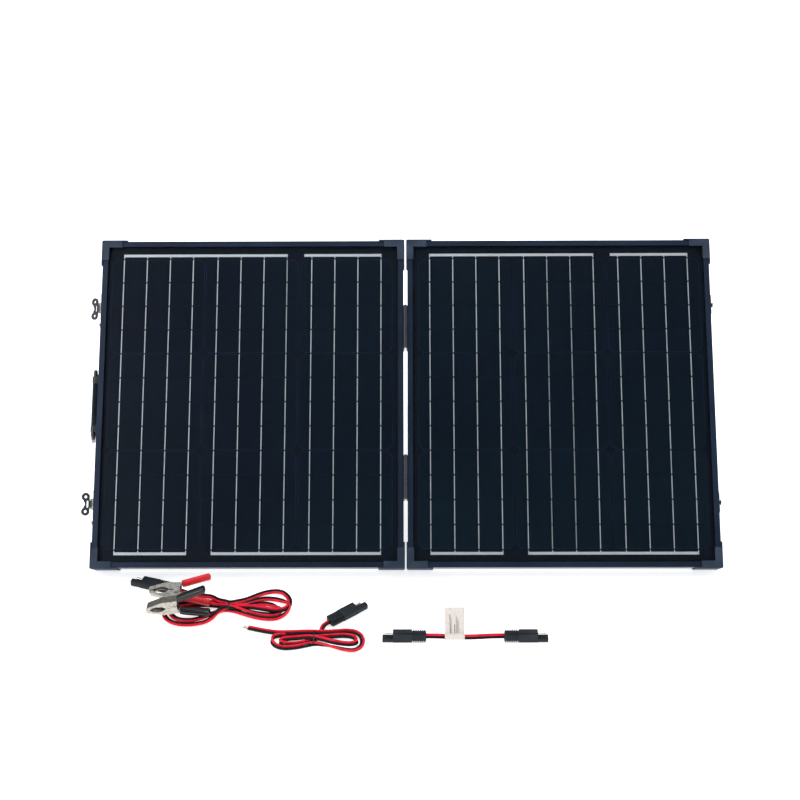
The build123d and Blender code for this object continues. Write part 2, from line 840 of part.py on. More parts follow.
def tie(place, width, height, name):
    x, y = place
    with BuildPart() as band:
        with BuildSketch(Plane(origin=(x, y, (height + tie_thick) / 2), x_dir=(0, 1, 0), z_dir=(1, 0, 0))):
            Rectangle(width + 2 * tie_thick, height + tie_thick)
            Rectangle(width, height - tie_thick, mode=Mode.SUBTRACT)
        extrude(amount=tie_width / 2, both=True)
    keep(band, name, Location(), cord=True)


# Clamp lead: plug, pair, tied hank with one loop on its left, and a wire to each clamp
clamp_heading = 163
clamp_plug = plug_place((-380, -50, plug_thick / 2), clamp_heading, (0, 0, -1))
place_group([(plug(), clamp_plug)], "clamp_lead_plug")
place_group([(plug_contacts(), clamp_plug)], "clamp_lead_contacts")
clamp_lead_in = [
    (-380, -50, 6),
    (-363, -55.2, 6),
    (-345, -64, 4.2),
    (-328, -66.5, 4.2),
    (-313, -69, 5.5),
    (-300.5, -84.5, 11),
    (-288, -84.5, 11),
]
clamp_lead_loop = [
    (-288, -101, 4.6),
    (-295.5, -101, 4.6),
    (-301.5, -109, 3.6),
    (-304, -122, 3.1),
    (-315, -133.5, 3.2),
    (-334, -139, 3.1),
    (-355, -140, 3.2),
    (-376, -132, 3.1),
    (-389.5, -115, 3.2),
    (-388, -98, 3.1),
    (-374, -85, 3.2),
    (-353, -78, 3.1),
    (-332, -75, 3.2),
    (-313, -78, 3.3),
    (-299, -87, 4.6),
    (-288, -87, 4.6),
]
red_branch = [(-311.2, -90.3, 10.3), (-304.3, -91.3, 9.3), (-295.5, -94.2, 10.5), (-288, -94.2, 10.5)]
black_branch = [(-309.3, -111.7, 9.7), (-302.3, -111.6, 9.4), (-295, -102, 11), (-288, -102, 11)]
cord_tubes([clamp_lead_in, clamp_lead_loop], pair_radius, "clamp_lead_cord")
cord_tubes([red_branch], wire_radius, "red_branch_wire")
cord_tubes([black_branch], wire_radius, "black_branch_wire")
clamp_hank = [
    (-283, -87),
    (-262, -79),
    (-238, -64),
    (-212, -57),
    (-190, -65),
    (-181, -88),
    (-190, -112),
    (-214, -127),
    (-240, -122),
    (-263, -109),
    (-283, -103),
]
hank(clamp_hank, (-281, -94.5), 14, 24, 15, "clamp_lead_hank")
tie((-282, -94.5), 24, 15, "clamp_lead_tie")

# Bare-end lead: stripped ends, pair, tied hank and plug
wire_heading = 38
wire_plug = plug_place((-120, -128.5, plug_thick / 2), wire_heading)
wire_lead_in = [
    (-247, -138.5, 3.0),
    (-226, -145, 3.1),
    (-204, -150.3, 3.3),
    (-184, -152.6, 4.2),
    (-166, -154.5, 5),
    (-152, -154.5, 5),
]
wire_lead_out = [(-132, -151, 8), (-132, -142, 8), (-127.88, -134.66, 6), (-120, -128.5, 6)]
with BuildPart() as bare_ends:
    first = Vector(*wire_lead_in[0])
    back = first - Vector(*wire_lead_in[1])
    with BuildSketch(Plane(origin=first, x_dir=back.cross(Vector(0, 0, 1)), z_dir=back)):
        with GridLocations(2 * wire_radius, 1, 2, 1):
            Circle(1.3)
    extrude(amount=9)
place_group([(plug(), wire_plug)], "wire_lead_plug")
place_group([(plug_contacts(), wire_plug), (bare_ends.part, Location())], "wire_lead_contacts")
cord_tubes([wire_lead_in, wire_lead_out], pair_radius, "wire_lead_cord")
wire_hank = [
    (-130, -153),
    (-108, -150),
    (-82, -153),
    (-65, -169),
    (-72, -187),
    (-95, -194),
    (-122, -184),
    (-143, -177),
    (-165, -183),
    (-190, -189),
    (-208, -181),
    (-207, -169),
    (-190, -162.5),
    (-166, -162),
    (-148, -160),
]
hank(wire_hank, (-141, -163), 22, 24, 14, "wire_lead_hank")
tie((-143, -163), 24, 14, "wire_lead_tie")

# Polarity adapter: two plugs standing on edge, pins up, joined by a short pair with a paper flag
adapter_y = -165
adapter_z = plug_width / 2
left_adapter = plug_place((32, adapter_y, adapter_z), 180, (0, 1, 0))
right_adapter = plug_place((153, adapter_y, adapter_z), 0, (0, -1, 0))
place_group([(plug(), left_adapter), (plug(), right_adapter)], "adapter_plugs")
place_group([(plug_contacts(), left_adapter), (plug_contacts(), right_adapter)], "adapter_contacts")
adapter_route = [
    (32, -165, adapter_z),
    (51, -165, adapter_z),
    (72, -166.1, 9.5),
    (94, -166.5, 9.1),
    (115, -166, 9.5),
    (135, -165, adapter_z),
    (153, -165, adapter_z),
]
cord_tubes([adapter_route], pair_radius, "adapter_cord")
tag_lean = 34
with BuildPart() as adapter_tag:
    with BuildSketch(Plane(origin=(0, 0, 0), x_dir=(0, 1, 0), z_dir=(1, 0, 0))):
        Circle(5.2)
        Circle(4.6, mode=Mode.SUBTRACT)
        rectangle(-0.4, 4.9, 0.4, 46)
    extrude(amount=15.4, both=True)
tag_place = Location((76, -166.2, 9.4), (-tag_lean, 0, 3))
keep(adapter_tag, "adapter_tag", tag_place, cord=True)

# The origin is under the middle of the standing panels, on the floor
boxes = [piece.part.bounding_box() for piece, name, cord in pieces if not cord]
middle_x = (min(box.min.X for box in boxes) + max(box.max.X for box in boxes)) / 2
middle_y = (min(box.min.Y for box in boxes) + max(box.max.Y for box in boxes)) / 2
floor = min(box.min.Z for box in boxes)
home = Location((-middle_x, -middle_y, -floor))
print(f"origin at {middle_x:.3f}, {middle_y:.3f}, {floor:.3f}, leg angle {leg_angle:.3f}")

for piece, name, cord in pieces:
    piece.part = piece.part.moved(home)
    piece.part.label = name
    export_step(piece.part, f"parts/{name}.step")
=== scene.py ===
import math
import random

import bmesh
import bpy
from mathutils import Matrix, Vector


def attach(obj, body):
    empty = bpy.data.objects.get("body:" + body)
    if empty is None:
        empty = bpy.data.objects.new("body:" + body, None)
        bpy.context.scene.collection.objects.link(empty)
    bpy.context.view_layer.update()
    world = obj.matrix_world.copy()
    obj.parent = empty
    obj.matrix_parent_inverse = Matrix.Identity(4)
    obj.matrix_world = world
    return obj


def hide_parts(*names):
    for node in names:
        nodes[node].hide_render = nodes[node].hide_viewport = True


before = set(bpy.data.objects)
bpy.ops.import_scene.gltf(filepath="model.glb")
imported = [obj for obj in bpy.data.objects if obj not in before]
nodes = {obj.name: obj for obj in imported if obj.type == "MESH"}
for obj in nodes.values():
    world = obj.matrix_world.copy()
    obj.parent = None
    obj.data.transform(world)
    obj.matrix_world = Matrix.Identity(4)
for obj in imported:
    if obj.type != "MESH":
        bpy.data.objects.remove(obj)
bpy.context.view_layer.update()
print("frame loaded,", len(nodes), "parts")

stance = {"home": (9.6, -230.775, 0), "tilt": 45, "lift": 2.8284}  # mm and degrees, as in the CAD

toRow = Matrix.Scale(0.001, 4) @ Matrix.Translation(stance["home"])
onPanel = toRow @ Matrix.Translation((0, 0, stance["lift"]))
onPanel = onPanel @ Matrix.Rotation(math.radians(stance["tilt"]), 4, "X")


def tint(red, green, blue):
    return tuple((channel / 255) ** 2.2 for channel in (red, green, blue))


# Camera
view = {"place": (0.0196, -1.9806, 1.5373), "turn": -0.57, "down": 34.37, "roll": -0.45, "lens": 63}


def addCamera():
    turn, down, roll = (math.radians(view[key]) for key in ("turn", "down", "roll"))
    ahead = Vector((math.sin(turn) * math.cos(down), math.cos(turn) * math.cos(down), -math.sin(down)))
    right = Vector((math.cos(turn), -math.sin(turn), 0))
    up = right.cross(ahead)
    sideways = right * math.cos(roll) + up * math.sin(roll)
    upright = up * math.cos(roll) - right * math.sin(roll)
    data = bpy.data.cameras.new("camera")
    data.lens = view["lens"]
    data.sensor_width = 36
    data.clip_end = 50
    camera = bpy.data.objects.new("camera", data)
    bpy.context.scene.collection.objects.link(camera)
    facing = Matrix((sideways, upright, -ahead)).transposed().to_4x4()
    camera.matrix_world = Matrix.Translation(view["place"]) @ facing
    bpy.context.scene.camera = camera


addCamera()
print("camera set")

# Materials


def addLink(tree, source, target):
    tree.links.new(source, target)


def finish(name, color, rough, metal=0.0, specular=0.5, coat=0.0):
    material = bpy.data.materials.new(name)
    material.use_nodes = True
    shader = material.node_tree.nodes["Principled BSDF"]
    shader.inputs["Base Color"].default_value = (*color, 1)
    shader.inputs["Roughness"].default_value = rough
    shader.inputs["Metallic"].default_value = metal
    shader.inputs["Specular IOR Level"].default_value = specular
    shader.inputs["Coat Weight"].default_value = coat
    return material


def objectPattern(material, scale, stretch=(1, 1, 1), turn=(0, 0, 0), detail=5.0, kind="ShaderNodeTexNoise"):
    tree = material.node_tree
    coordinates = tree.nodes.new("ShaderNodeTexCoord")
    mapping = tree.nodes.new("ShaderNodeMapping")
    mapping.inputs["Rotation"].default_value = turn
    mapping.inputs["Scale"].default_value = stretch
    pattern = tree.nodes.new(kind)
    pattern.inputs["Scale"].default_value = scale
    if kind == "ShaderNodeTexNoise":
        pattern.inputs["Detail"].default_value = detail
    addLink(tree, coordinates.outputs["Object"], mapping.inputs["Vector"])
    addLink(tree, mapping.outputs["Vector"], pattern.inputs["Vector"])
    return pattern


def addRelief(material, pattern, strength, distance):
    tree = material.node_tree
    bump = tree.nodes.new("ShaderNodeBump")
    bump.inputs["Strength"].default_value = strength
    bump.inputs["Distance"].default_value = distance
    addLink(tree, pattern.outputs[0], bump.inputs["Height"])
    shader = tree.nodes["Principled BSDF"]
    if shader.inputs["Normal"].is_linked:
        addLink(tree, shader.inputs["Normal"].links[0].from_socket, bump.inputs["Normal"])
    addLink(tree, bump.outputs["Normal"], shader.inputs["Normal"])


def addTone(material, pattern, dark, light, low=0.35, high=0.65):
    tree = material.node_tree
    ramp = tree.nodes.new("ShaderNodeValToRGB")
    ramp.color_ramp.elements[0].position = low
    ramp.color_ramp.elements[0].color = (*dark, 1)
    ramp.color_ramp.elements[1].position = high
    ramp.color_ramp.elements[1].color = (*light, 1)
    addLink(tree, pattern.outputs[0], ramp.inputs["Fac"])
    addLink(tree, ramp.outputs["Color"], tree.nodes["Principled BSDF"].inputs["Base Color"])
    return ramp


def addRough(material, pattern, low, high):
    tree = material.node_tree
    spread = tree.nodes.new("ShaderNodeMapRange")
    spread.inputs["To Min"].default_value = low
    spread.inputs["To Max"].default_value = high
    addLink(tree, pattern.outputs[0], spread.inputs["Value"])
    addLink(tree, spread.outputs["Result"], tree.nodes["Principled BSDF"].inputs["Roughness"])


tiltTurn = (math.radians(-stance["tilt"]), 0, 0)


def anodised():
    # Dark blue-grey anodised aluminium, drawn along the rails
    material = finish("anodised rails", tint(30, 41, 58), 0.36, metal=0.45, specular=0.6)
    streaks = objectPattern(material, 60, (1, 14, 1), tiltTurn, 6)
    cloud = objectPattern(material, 9, detail=3)
    addTone(material, cloud, tint(25, 36, 52), tint(35, 48, 66))
    addRough(material, streaks, 0.26, 0.42)
    addRelief(material, streaks, 0.12, 0.0002)
    return material


def mouldedPlastic(name, dark, light, low, high, grain, strength, coat=0.0):
    material = finish(name, light, high, specular=0.22, coat=coat)
    cloud = objectPattern(material, 35, detail=4)
    fine = objectPattern(material, grain, detail=2)
    addTone(material, cloud, dark, light)
    addRough(material, cloud, low, high)
    addRelief(material, fine, strength, 0.0003)
    return material


def brushedMetal(name, dark, light, low, high, turn=(0, 0, 0), stretch=(1, 20, 20)):
    material = finish(name, light, high, metal=1.0)
    streaks = objectPattern(material, 40, stretch, turn, 6)
    spots = objectPattern(material, 220, detail=3)
    addTone(material, spots, dark, light)
    addRough(material, streaks, low, high)
    addRelief(material, streaks, 0.15, 0.0002)
    return material


def paintedSteel(name, dark, light):
    material = finish(name, light, 0.42, specular=0.5, coat=0.15)
    peel = objectPattern(material, 900, detail=2)
    cloud = objectPattern(material, 60, detail=5)
    addTone(material, cloud, dark, light)
    addRough(material, cloud, 0.32, 0.5)
    addRelief(material, peel, 0.25, 0.0002)
    return material


def insulation(name, dark, light):
    material = finish(name, light, 0.42, specular=0.18)
    cloud = objectPattern(material, 120, detail=4)
    addTone(material, cloud, dark, light)
    addRough(material, cloud, 0.3, 0.46)
    addRelief(material, objectPattern(material, 1500, detail=2), 0.12, 0.0002)
    return material


def cellSilicon():
    # Very dark blue wafer with fine printed fingers, a tone of its own for each strip, and a soft teal cloud
    # that is partly the wafers' own tone, partly a painted reflection
    material = finish("cell silicon", tint(12, 22, 38), 0.4, specular=0.2)
    tree = material.node_tree
    # Low-frequency navy to teal cloud: partly the wafers' own tone, partly a painted soft reflection
    cloud = objectPattern(material, 2.3, (1, 0.8, 0.8), detail=2)
    ramp = addTone(material, cloud, tint(9, 19, 36), tint(19, 38, 48), 0.3, 0.7)
    fingers = objectPattern(material, 100, (0, 1, 0), tiltTurn, kind="ShaderNodeTexWave")
    fingers.bands_direction = "Y"
    tone = tree.nodes.new("ShaderNodeAttribute")
    tone.attribute_name = "tone"
    lift = tree.nodes.new("ShaderNodeMix")
    lift.data_type = "RGBA"
    lift.blend_type = "ADD"
    lift.inputs[7].default_value = (*tint(10, 18, 32), 1)
    addLink(tree, tone.outputs["Fac"], lift.inputs[0])
    addLink(tree, ramp.outputs["Color"], lift.inputs[6])
    printed = tree.nodes.new("ShaderNodeMix")
    printed.data_type = "RGBA"
    printed.inputs[7].default_value = (*tint(22, 36, 54), 1)
    thin = tree.nodes.new("ShaderNodeMapRange")
    thin.inputs["From Min"].default_value = 0.8
    thin.inputs["To Max"].default_value = 0.16
    addLink(tree, fingers.outputs["Fac"], thin.inputs["Value"])
    addLink(tree, thin.outputs["Result"], printed.inputs[0])
    addLink(tree, lift.outputs[2], printed.inputs[6])
    addLink(tree, printed.outputs[2], tree.nodes["Principled BSDF"].inputs["Base Color"])
    return material


def cellRim():
    material = finish("cell rim", tint(26, 40, 66), 0.5, specular=0.2)
    addTone(material, objectPattern(material, 12, detail=3), tint(18, 31, 54), tint(34, 50, 80))
    return material


def tinnedRibbon():
    # Bright ribbon with painted shade where it dips between two strips
    material = finish("tinned ribbon", tint(240, 244, 246), 0.34, metal=0.2, specular=0.8)
    tree = material.node_tree
    wobble = objectPattern(material, 160, detail=3)
    addRough(material, wobble, 0.2, 0.5)
    addRelief(material, wobble, 0.5, 0.0006)
    coordinates = tree.nodes.new("ShaderNodeTexCoord")
    mapping = tree.nodes.new("ShaderNodeMapping")
    mapping.inputs["Rotation"].default_value = tiltTurn
    split = tree.nodes.new("ShaderNodeSeparateXYZ")
    shift = tree.nodes.new("ShaderNodeMath")
    shift.operation = "ADD"
    shift.inputs[1].default_value = ribbonDipShade["shift"]
    wrap = tree.nodes.new("ShaderNodeMath")
    wrap.operation = "PINGPONG"
    wrap.inputs[1].default_value = ribbonDipShade["pitch"] / 2
    dipShade = tree.nodes.new("ShaderNodeMapRange")
    dipShade.inputs["From Min"].default_value = ribbonDipShade["reach"]
    dipShade.inputs["From Max"].default_value = ribbonDipShade["reach"] + 0.0006
    mix = tree.nodes.new("ShaderNodeMix")
    mix.data_type = "RGBA"
    # The dark colour is painted shade in the dips between strips
    mix.inputs[6].default_value = (*tint(60, 72, 88), 1)
    mix.inputs[7].default_value = (*tint(250, 252, 253), 1)
    addLink(tree, coordinates.outputs["Object"], mapping.inputs["Vector"])
    addLink(tree, mapping.outputs["Vector"], split.inputs["Vector"])
    addLink(tree, split.outputs["Y"], shift.inputs[0])
    addLink(tree, shift.outputs[0], wrap.inputs[0])
    addLink(tree, wrap.outputs[0], dipShade.inputs["Value"])
    addLink(tree, dipShade.outputs["Result"], mix.inputs[0])
    addLink(tree, mix.outputs[2], tree.nodes["Principled BSDF"].inputs["Base Color"])
    return material


def coverGlass():
    material = bpy.data.materials.new("cover glass")
    material.use_nodes = True
    tree = material.node_tree
    tree.nodes.remove(tree.nodes["Principled BSDF"])
    clear = tree.nodes.new("ShaderNodeBsdfTransparent")
    clear.inputs["Color"].default_value = (0.97, 0.985, 0.99, 1)
    gloss = tree.nodes.new("ShaderNodeBsdfAnisotropic")
    gloss.inputs["Roughness"].default_value = 0.09
    edge = tree.nodes.new("ShaderNodeFresnel")
    edge.inputs["IOR"].default_value = 1.32
    mix = tree.nodes.new("ShaderNodeMixShader")
    ripple = tree.nodes.new("ShaderNodeTexNoise")
    ripple.inputs["Scale"].default_value = 6
    coordinates = tree.nodes.new("ShaderNodeTexCoord")
    bump = tree.nodes.new("ShaderNodeBump")
    bump.inputs["Strength"].default_value = 0.04
    bump.inputs["Distance"].default_value = 0.002
    addLink(tree, coordinates.outputs["Object"], ripple.inputs["Vector"])
    addLink(tree, ripple.outputs["Fac"], bump.inputs["Height"])
    addLink(tree, bump.outputs["Normal"], gloss.inputs["Normal"])
    addLink(tree, edge.outputs[0], mix.inputs[0])
    addLink(tree, clear.outputs[0], mix.inputs[1])
    addLink(tree, gloss.outputs[0], mix.inputs[2])
    addLink(tree, mix.outputs[0], tree.nodes["Material Output"].inputs["Surface"])
    return material


# Painted shade bands where the ribbons dip between strips, measured up the slope from the row's own origin,
# in metres
slope = math.radians(stance["tilt"])
panelStart = (onPanel @ Vector((0, 30, 30))).yz
ribbonDipShade = {"pitch": 0.0411, "reach": 0.0011}
ribbonDipShade["shift"] = 0.001 - (panelStart[0] * math.cos(slope) + panelStart[1] * math.sin(slope))

railFinish = anodised()
capFinish = mouldedPlastic("cap plastic", tint(36, 46, 59), tint(50, 61, 76), 0.5, 0.66, 1400, 0.35)
caseFinish = mouldedPlastic("case plastic", tint(26, 28, 32), tint(36, 38, 43), 0.42, 0.58, 1600, 0.4)
plugFinish = mouldedPlastic("plug rubber", tint(20, 27, 32), tint(32, 40, 46), 0.46, 0.6, 1300, 0.25)
gripBlack = mouldedPlastic("black grip", tint(8, 10, 13), tint(15, 18, 23), 0.18, 0.3, 700, 0.08, coat=0.5)
gripRed = mouldedPlastic("red grip", tint(176, 26, 34), tint(206, 38, 46), 0.3, 0.42, 700, 0.1, coat=0.25)
footFinish = mouldedPlastic("foot rubber", tint(18, 18, 20), tint(30, 30, 32), 0.6, 0.8, 900, 0.5)
sheetFinish = mouldedPlastic("back sheet", tint(9, 17, 30), tint(13, 23, 38), 0.5, 0.65, 300, 0.1)
blackSteel = paintedSteel("black steel", tint(22, 27, 34), tint(34, 40, 48))
legFinish = paintedSteel("leg metal", tint(24, 30, 40), tint(34, 42, 54))
zincSteel = brushedMetal("zinc steel", tint(148, 144, 136), tint(182, 178, 168), 0.26, 0.42)
brightTin = brushedMetal("bright tin", tint(190, 188, 182), tint(235, 232, 224), 0.14, 0.3)
bareCopper = brushedMetal("tinned strands", tint(150, 140, 126), tint(222, 214, 200), 0.25, 0.45)
redWire = insulation("red insulation", tint(190, 24, 44), tint(222, 36, 58))
blackWire = insulation("black insulation", tint(7, 10, 14), tint(14, 18, 23))
siliconFinish = cellSilicon()
rimFinish = cellRim()
ribbonFinish = tinnedRibbon()
glassFinish = coverGlass()
screenFinish = mouldedPlastic(
    "screen", tint(120, 132, 118), tint(138, 150, 134), 0.12, 0.2, 200, 0.02, coat=1.0
)
inkFinish = finish("printed ink", tint(60, 62, 66), 0.6)
addTone(inkFinish, objectPattern(inkFinish, 900, detail=2), tint(48, 50, 54), tint(92, 94, 98))
buttonFinish = mouldedPlastic("button", tint(150, 30, 26), tint(176, 40, 34), 0.3, 0.4, 800, 0.1, coat=0.3)
paperFinish = finish("tag paper", tint(214, 204, 196), 0.8, specular=0.1)
addTone(paperFinish, objectPattern(paperFinish, 400, detail=6), tint(206, 196, 188), tint(220, 211, 204))
addRelief(paperFinish, objectPattern(paperFinish, 2200, detail=3), 0.2, 0.0001)

byNode = {}
for half in ("left", "right"):
    byNode.update(
        {
            half + "_frame_rails": railFinish,
            half + "_corner_caps": capFinish,
            half + "_glass": glassFinish,
            half + "_cells": siliconFinish,
            half + "_ribbons": ribbonFinish,
            half + "_backsheet": sheetFinish,
            half + "_junction_box": caseFinish,
            half + "_hinge_leaves": blackSteel,
            half + "_leg_pivots": zincSteel,
            half + "_leg_frame": legFinish,
            half + "_leg_feet": footFinish,
        }
    )
for names, material in (
    (("controller_case",), caseFinish),
    (("controller_screen",), screenFinish),
    (("controller_button",), buttonFinish),
    (("latch_plates", "latch_keepers", "handle_brackets", "handle_bail"), blackSteel),
    (("lower_latch_wing", "upper_latch_wing"), blackSteel),
    (("lower_latch_catch", "upper_latch_catch", "hinge_pins", "clamp_pins"), zincSteel),
    (("red_clamp_upper_jaw", "black_clamp_upper_jaw", "clamp_lower_jaws"), zincSteel),
    (("clamp_lead_plug", "wire_lead_plug", "adapter_plugs", "handle_grip"), plugFinish),
    (("clamp_lead_contacts", "adapter_contacts"), brightTin),
    (("wire_lead_contacts",), bareCopper),
    (("adapter_tag",), paperFinish),
):
    byNode.update({name: material for name in names})
for name, material in byNode.items():
    node = nodes[name]
    node.data.materials.clear()
    node.data.materials.append(material)
print("materials made")

# Making and placing pieces


def keepPiece(name, shape, place, body, materials, replaced=(), smooth=True):
    bmesh.ops.transform(shape, matrix=place, verts=shape.verts)
    mesh = bpy.data.meshes.new(name)
    shape.to_mesh(mesh)
    shape.free()
    for material in materials:
        mesh.materials.append(material)
    for face in mesh.polygons:
        face.use_smooth = smooth
    piece = bpy.data.objects.new(name, mesh)
    bpy.context.scene.collection.objects.link(piece)
    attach(piece, body)
    if replaced:
        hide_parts(*replaced)
    return piece


def smoothLine(points, steps=8):
    # The route's control points make one smooth line, read back as close points
    curve = bpy.data.curves.new("route", "CURVE")
    curve.dimensions = "3D"
    curve.resolution_u = steps
    spline = curve.splines.new("NURBS")
    spline.points.add(len(points) - 1)
    for control, point in zip(spline.points, points):
        control.co = (*(toRow @ Vector(point[:3])), 1)
    spline.order_u = 3
    spline.use_endpoint_u = True
    holder = bpy.data.objects.new("route", curve)
    mesh = bpy.data.meshes.new_from_object(holder)
    line = [vertex.co.copy() for vertex in mesh.vertices]
    bpy.data.meshes.remove(mesh)
    bpy.data.objects.remove(holder)
    bpy.data.curves.remove(curve)
    return line


def tubeAlong(shape, line, radius, materialIndex):
    curve = bpy.data.curves.new("tube", "CURVE")
    curve.dimensions = "3D"
    curve.bevel_depth = radius
    curve.bevel_resolution = 3
    curve.use_fill_caps = True
    spline = curve.splines.new("POLY")
    spline.points.add(len(line) - 1)
    for control, point in zip(spline.points, line):
        control.co = (*point, 1)
    holder = bpy.data.objects.new("tube", curve)
    mesh = bpy.data.meshes.new_from_object(holder)
    known = len(shape.faces)
    shape.from_mesh(mesh)
    shape.faces.ensure_lookup_table()
    for face in shape.faces[known:]:
        face.material_index = materialIndex
    bpy.data.meshes.remove(mesh)
    bpy.data.objects.remove(holder)
    bpy.data.curves.remove(curve)


def rolledPair(line, rolls, reach):
    # One wire on each side of the line; the roll in degrees starts at the left and turns up
    first, second = [], []
    last = len(line) - 1
    for number, point in enumerate(line):
        ahead = (line[min(number + 1, last)] - line[max(number - 1, 0)]).normalized()
        left = Vector((0, 0, 1)).cross(ahead).normalized()
        above = ahead.cross(left)
        along = number / last * (len(rolls) - 1)
        low = min(int(along), len(rolls) - 2)
        roll = math.radians(rolls[low] + (rolls[low + 1] - rolls[low]) * (along - low))
        step = (left * math.cos(roll) + above * math.sin(roll)) * reach
        first.append(point + step)
        second.append(point - step)
    return first, second


wire = {"radius": 0.0021, "gap": 0.00205}


def makePair(name, route, body, replaced):
    line = smoothLine(route)
    redLine, blackLine = rolledPair(line, [point[3] for point in route], wire["gap"])
    shape = bmesh.new()
    tubeAlong(shape, redLine, wire["radius"], 0)
    tubeAlong(shape, blackLine, wire["radius"], 1)
    piece = keepPiece(name, shape, Matrix(), body, (redWire, blackWire), replaced)
    return piece


def makeWire(name, route, radius, body, material, replaced):
    line = smoothLine(route)
    shape = bmesh.new()
    tubeAlong(shape, line, radius, 0)
    piece = keepPiece(name, shape, Matrix(), body, (material,), replaced)
    return piece


# Cords: x, y, z in mm as drawn, and the roll of the red wire
clampIn = [
    (-380, -50, 6, 180),
    (-363, -55.2, 6, 180),
    (-345, -64, 4.4, 185),
    (-328, -66.5, 4.4, 190),
    (-313, -69, 5.5, 200),
    (-300.5, -84.5, 11, 205),
    (-288, -87.5, 11, 205),
    (-281, -90.5, 10.8, 205),
    (-272, -87, 9.6, 205),
]
clampLobeA = [
    (-254.1, -77, 5.6, 200),
    (-238.6, -64, 3.6, 195),
    (-224.3, -57, 3.4, 195),
    (-209.5, -54.5, 3.4, 195),
    (-198, -58, 3.6, 190),
    (-188.8, -69, 4, 185),
    (-184.7, -83.5, 5.6, 170),
    (-187.5, -97, 7.6, 150),
    (-198, -105.5, 8.6, 140),
    (-212.8, -104.9, 8.8, 135),
    (-231.6, -100.5, 8.8, 130),
    (-250.5, -96.5, 8.6, 120),
    (-268, -96, 7.6, 110),
    (-281, -98.5, 7, 90),
]
clampLoopOne = [
    (-289, -101, 5.5, 60),
    (-295.5, -103, 4.8, 30),
    (-302.5, -108, 3.8, 15),
    (-307, -118, 3.4, 10),
    (-317, -127, 3.4, 5),
    (-334, -131.5, 3.4, 0),
    (-354, -132, 3.4, 0),
    (-372, -126, 3.4, 0),
    (-384, -112, 3.4, 0),
    (-383, -98, 3.4, 0),
    (-371, -86, 3.4, 0),
    (-353, -79.5, 3.4, 0),
    (-332, -77, 3.4, 0),
    (-313, -79.5, 3.6, 0),
    (-299, -87, 5, 10),
    (-288, -90.5, 6.6, 50),
    (-281, -91.3, 7, 90),
]
clampLobeB = [
    (-268, -89, 6.2, 150),
    (-255, -84.5, 4.8, 185),
    (-238, -75.5, 3.6, 195),
    (-225, -72, 3.4, 195),
    (-210, -73.4, 3.4, 195),
    (-197, -78, 3.6, 180),
    (-187.5, -84.5, 4.4, 130),
    (-184.5, -92, 4.6, 90),
    (-187, -102.5, 4.4, 50),
    (-194.3, -112.1, 3.6, 10),
    (-205, -119, 3.4, 0),
    (-221.2, -119.5, 3.4, 0),
    (-240, -115, 3.4, 0),
    (-258.8, -107, 3.4, 0),
    (-272, -101, 3.2, 0),
    (-281, -98.6, 3, 0),
]
clampLoopTwo = [
    (-290, -98, 3.1, 0),
    (-300, -102.5, 3.2, 0),
    (-312, -110, 3.4, 0),
    (-326, -118.5, 3.4, 0),
    (-341, -122.4, 3.4, 0),
    (-357, -121.5, 3.4, 0),
    (-368, -115, 3.4, 0),
    (-374, -106, 3.4, 0),
    (-371, -97.5, 3.4, 0),
    (-361, -92, 3.4, 0),
    (-346, -88.5, 3.4, 0),
    (-326, -87, 3.4, 0),
    (-306, -88.5, 3.4, 0),
    (-292, -91, 3.2, 0),
    (-281, -91, 3, 10),
]
clampLobeC = [
    (-268, -92, 3.6, 60),
    (-256, -90.5, 4.6, 120),
    (-245, -86.5, 3.8, 175),
    (-233, -84, 3.5, 195),
    (-220, -85, 3.4, 195),
    (-208.8, -89.5, 3.6, 180),
    (-200.5, -96, 4.4, 120),
    (-198, -103, 4.4, 60),
    (-203.5, -108.5, 3.5, 10),
    (-216.3, -110, 3.4, 0),
    (-234.9, -106.8, 3.6, 0),
    (-255.5, -101.8, 5.6, 20),
    (-270, -99, 9, 60),
    (-280, -98, 10.8, 90),
]
clampRoute = clampIn + clampLobeA + clampLoopOne + clampLobeB + clampLoopTwo + clampLobeC
makePair(
    "clamp_pair",
    clampRoute,
    "clamp_lead",
    ("clamp_lead_cord", "clamp_lead_hank"),
)
redBranch = [
    (-311.2, -90.3, 10.3),
    (-304.3, -91.3, 9.3),
    (-295.5, -94.2, 10.5),
    (-288, -94.8, 10.8),
    (-279, -96.2, 11.2),
    (-270, -98.5, 9.6),
]
makeWire("red_branch", redBranch, wire["radius"], "clamp_lead", redWire, ("red_branch_wire",))
blackBranch = [
    (-309.3, -111.7, 9.7),
    (-302.3, -111.6, 9.4),
    (-295, -102.5, 11),
    (-288, -100.5, 11.2),
    (-279, -100, 11),
    (-270, -101, 9.2),
]
makeWire(
    "black_branch", blackBranch, wire["radius"], "clamp_lead", blackWire, ("black_branch_wire",)
)

